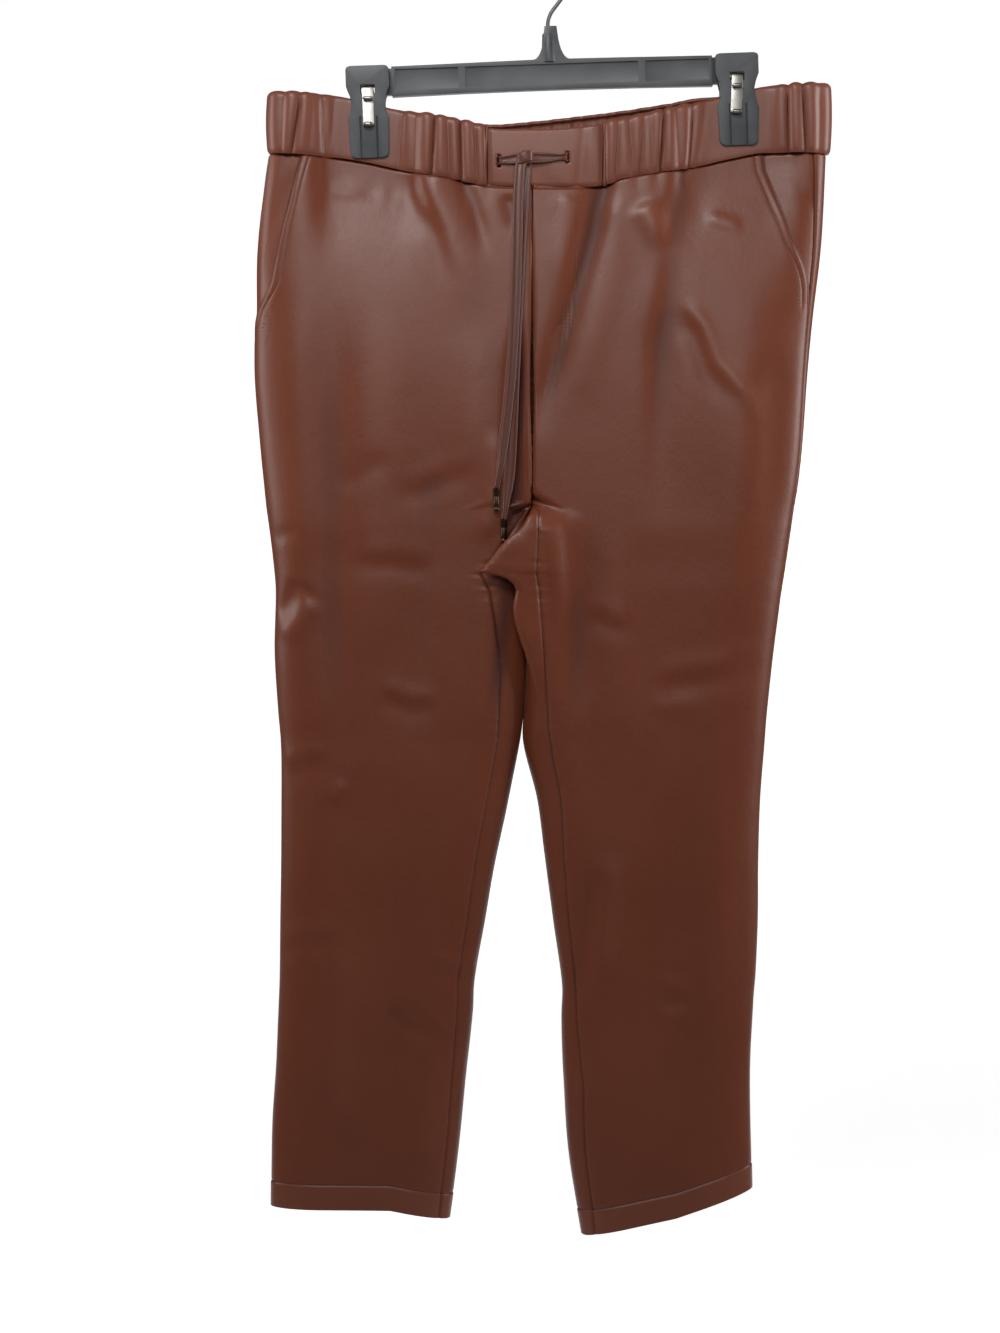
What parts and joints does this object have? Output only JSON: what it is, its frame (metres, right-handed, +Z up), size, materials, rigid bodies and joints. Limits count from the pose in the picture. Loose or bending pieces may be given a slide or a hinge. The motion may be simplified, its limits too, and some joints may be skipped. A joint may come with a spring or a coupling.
{
  "type": "faux leather trousers on a clip hanger",
  "caption": "Pull-on faux leather trousers with a gathered elastic waist, flat tie, slanted pockets and a mock fly, hung by the waistband from a plastic clip hanger with a steel hook.",
  "frame": {"origin": "the inside top of the hanger's hook, where a rail carries it", "axes": "+Z up along the hanging trousers, the front faces -Y, +X to the right as the front is faced"},
  "size_m": [0.4902, 0.0714, 1.1058],
  "materials": {
    "panel_leather": "satin brick-brown faux leather with a fine grain",
    "band_leather": "the same faux leather, gathered on elastic",
    "tie_leather": "edge-turned flat strip of the same faux leather",
    "hanger_plastic": "black moulded plastic, half matte",
    "hook_steel": "drawn steel wire",
    "spring_steel": "bright plated spring strip",
    "aglet_metal": "dark antiqued bronze tube"
  },
  "bodies": {
    "root": {"front_panel_left": "panel_leather", "back_panel_left": "panel_leather", "front_panel_right": "panel_leather", "back_panel_right": "panel_leather", "pocket_bearer_left": "panel_leather", "pocket_bearer_right": "panel_leather", "mock_fly": "panel_leather", "waistband_elastic": "band_leather", "waistband_front": "band_leather", "tie_from_slit_left": "tie_leather", "tie_from_slit_right": "tie_leather", "tie_knot": "tie_leather", "tie_end_long": "tie_leather", "tie_end_short": "tie_leather", "aglet_long": "aglet_metal", "aglet_short": "aglet_metal", "hanger_bar": "hanger_plastic", "clip_left_front": "hanger_plastic", "clip_left_back": "hanger_plastic", "clip_right_front": "hanger_plastic", "clip_right_back": "hanger_plastic", "clip_spring_left": "spring_steel", "clip_spring_right": "spring_steel", "hanger_hook": "hook_steel"}
  },
  "joints": []
}
